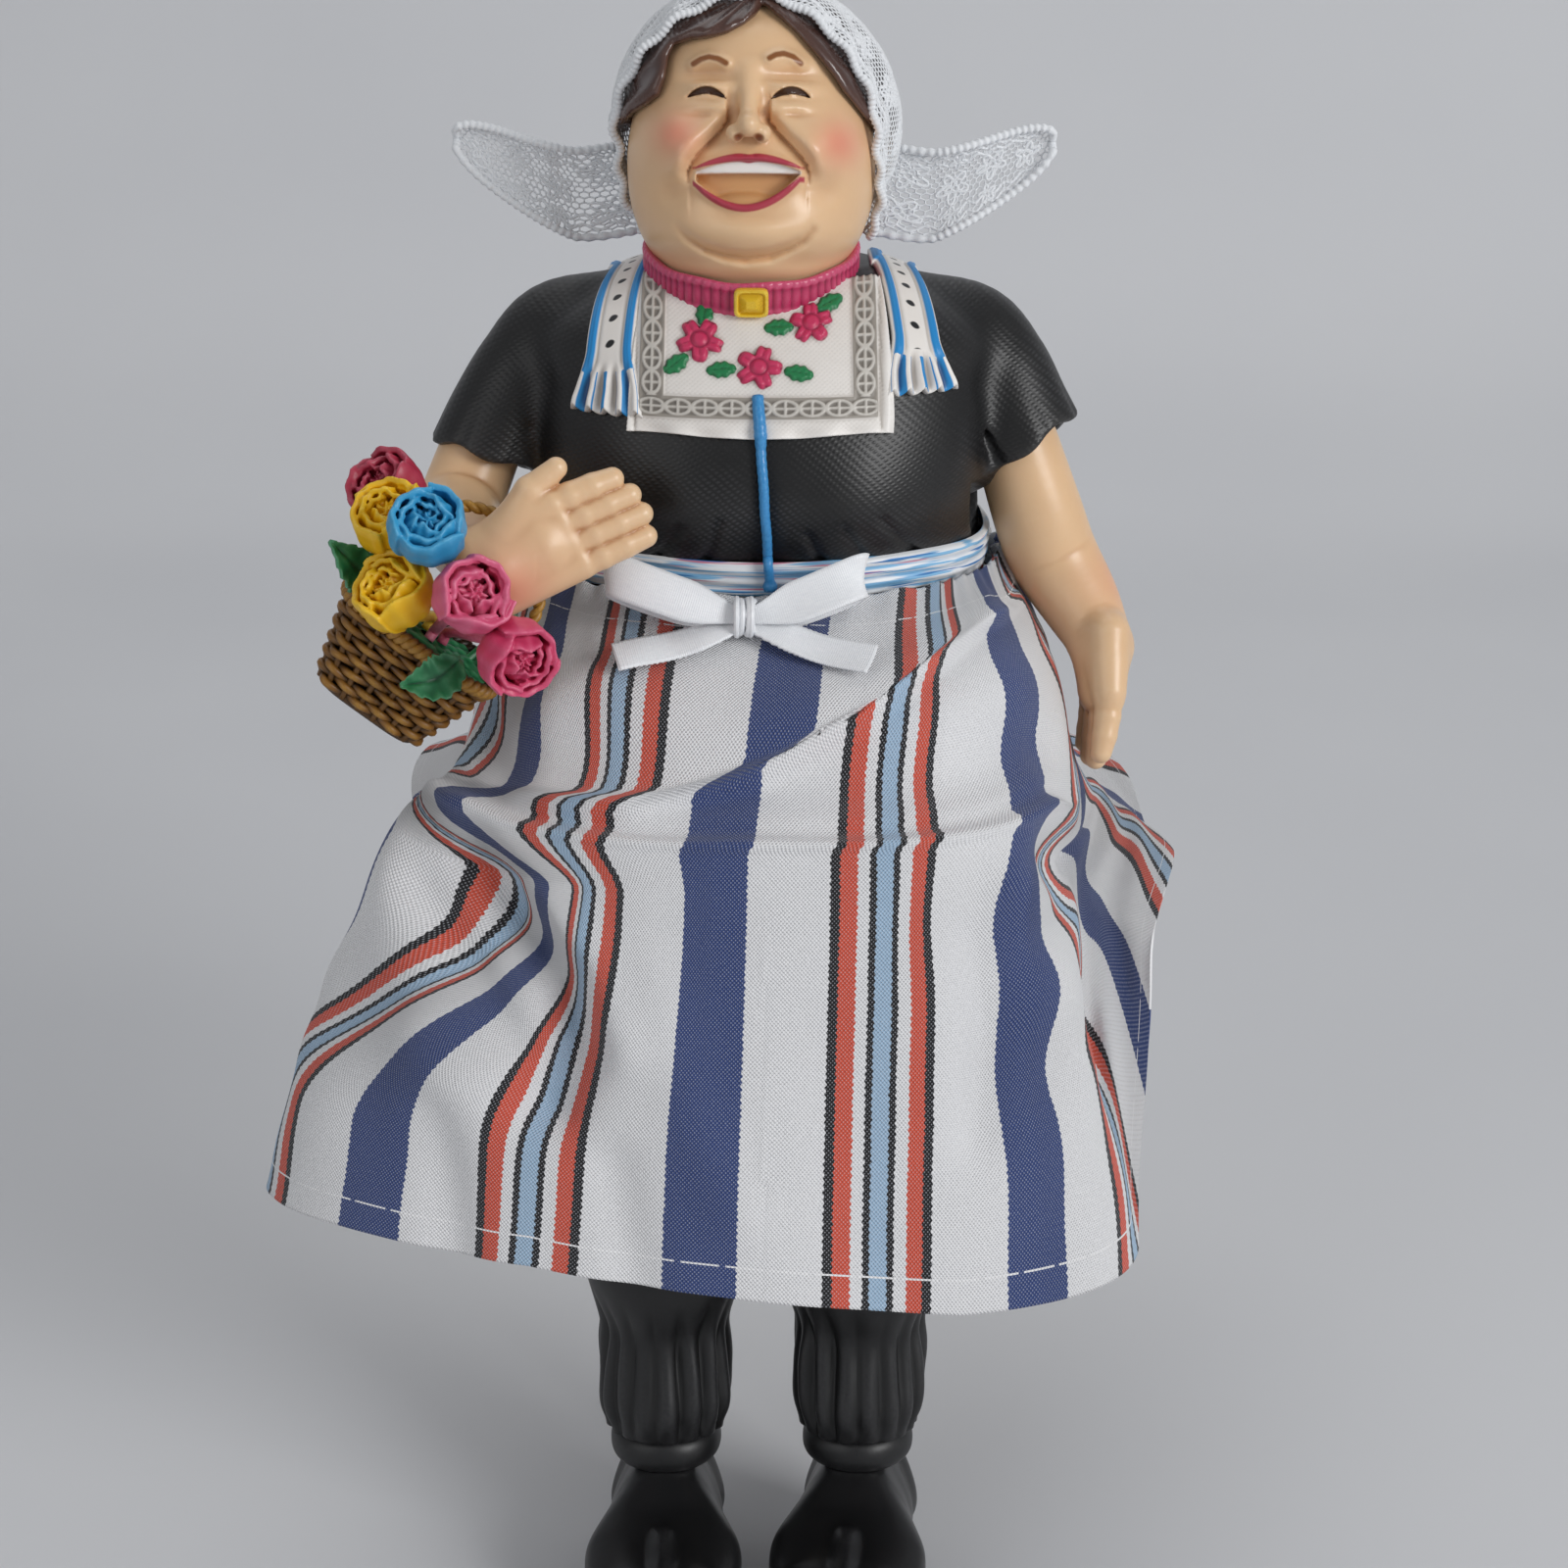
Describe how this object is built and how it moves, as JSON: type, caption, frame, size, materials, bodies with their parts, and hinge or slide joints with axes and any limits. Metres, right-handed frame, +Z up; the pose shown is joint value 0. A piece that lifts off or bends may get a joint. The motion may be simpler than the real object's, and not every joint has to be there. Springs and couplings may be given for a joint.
{
  "type": "shelf sitter doll",
  "caption": "Seated folk-dress figure for a shelf edge, with a lace cap, flower basket, striped cloth skirt and legs that swing on wire hangers.",
  "frame": {"origin": "on the flat underside of the seat, below the middle of the body", "axes": "+Z up, the doll faces -Y, +X is the doll's left"},
  "size_m": [0.1342, 0.1311, 0.2344],
  "materials": {
    "bare_resin": "cast resin, unpainted",
    "black_paint": "cast resin, black paint with a dry-brushed sheen",
    "skin_paint": "cast resin, matt skin paint with a blush",
    "hair_paint": "cast resin, brown paint",
    "lace": "starched cotton lace",
    "red_bead": "cast resin, ribbed, red paint",
    "gold_paint": "cast resin, gold paint",
    "bib_paint": "cast resin, painted as embroidered linen",
    "band_paint": "cast resin, painted as striped braid",
    "blue_paint": "cast resin, blue paint",
    "wicker": "cast resin, painted as wicker with a dark wash",
    "red_petal": "cast resin, crimson paint",
    "blue_petal": "cast resin, blue paint",
    "pink_petal": "cast resin, pink paint",
    "deep_pink_petal": "cast resin, deep pink paint",
    "yellow_petal": "cast resin, yellow paint",
    "leaf": "cast resin, green paint",
    "striped_cotton": "woven cotton with printed stripes",
    "satin": "polyester satin ribbon",
    "thread": "white sewing thread",
    "steel_wire": "drawn steel wire",
    "stocking_paint": "cast resin, satin black paint",
    "clog_paint": "cast resin, satin black paint"
  },
  "bodies": {
    "figure": {"seat_casting": "bare_resin", "bodice_casting": "black_paint", "head_casting": "skin_paint", "hair": "hair_paint", "lace_cap": "lace", "lace_wing_left": "lace", "lace_wing_right": "lace", "choker_band": "red_bead", "choker_clasp": "gold_paint", "bib_panel": "bib_paint", "shoulder_band_left": "band_paint", "shoulder_band_right": "band_paint", "front_piping": "blue_paint", "waistband": "band_paint", "arm_left": "skin_paint", "arm_right": "skin_paint", "basket": "wicker", "basket_handle": "wicker", "bloom_red": "red_petal", "bloom_blue": "blue_petal", "bloom_pink": "pink_petal", "bloom_deep_pink": "deep_pink_petal", "bloom_yellow_upper": "yellow_petal", "bloom_yellow_lower": "yellow_petal", "basket_leaves": "leaf", "skirt": "striped_cotton", "ribbon_bow": "satin", "bow_binding": "thread", "hip_staple_left": "steel_wire", "hip_staple_right": "steel_wire"},
    "left_leg": {"leg_eye_left": "steel_wire", "leg_left": "stocking_paint", "ankle_cuff_left": "stocking_paint", "clog_left": "clog_paint"},
    "right_leg": {"leg_eye_right": "steel_wire", "leg_right": "stocking_paint", "ankle_cuff_right": "stocking_paint", "clog_right": "clog_paint"}
  },
  "joints": [
    {"name": "left_leg_swing", "type": "hinge", "parent": "figure", "child": "left_leg", "pos_m": [0.0148, -0.055, -0.002], "axis": [-1, 0, 0], "range_deg": [-20, 20]},
    {"name": "right_leg_swing", "type": "hinge", "parent": "figure", "child": "right_leg", "pos_m": [-0.0148, -0.055, -0.002], "axis": [-1, 0, 0], "range_deg": [-20, 20]}
  ]
}
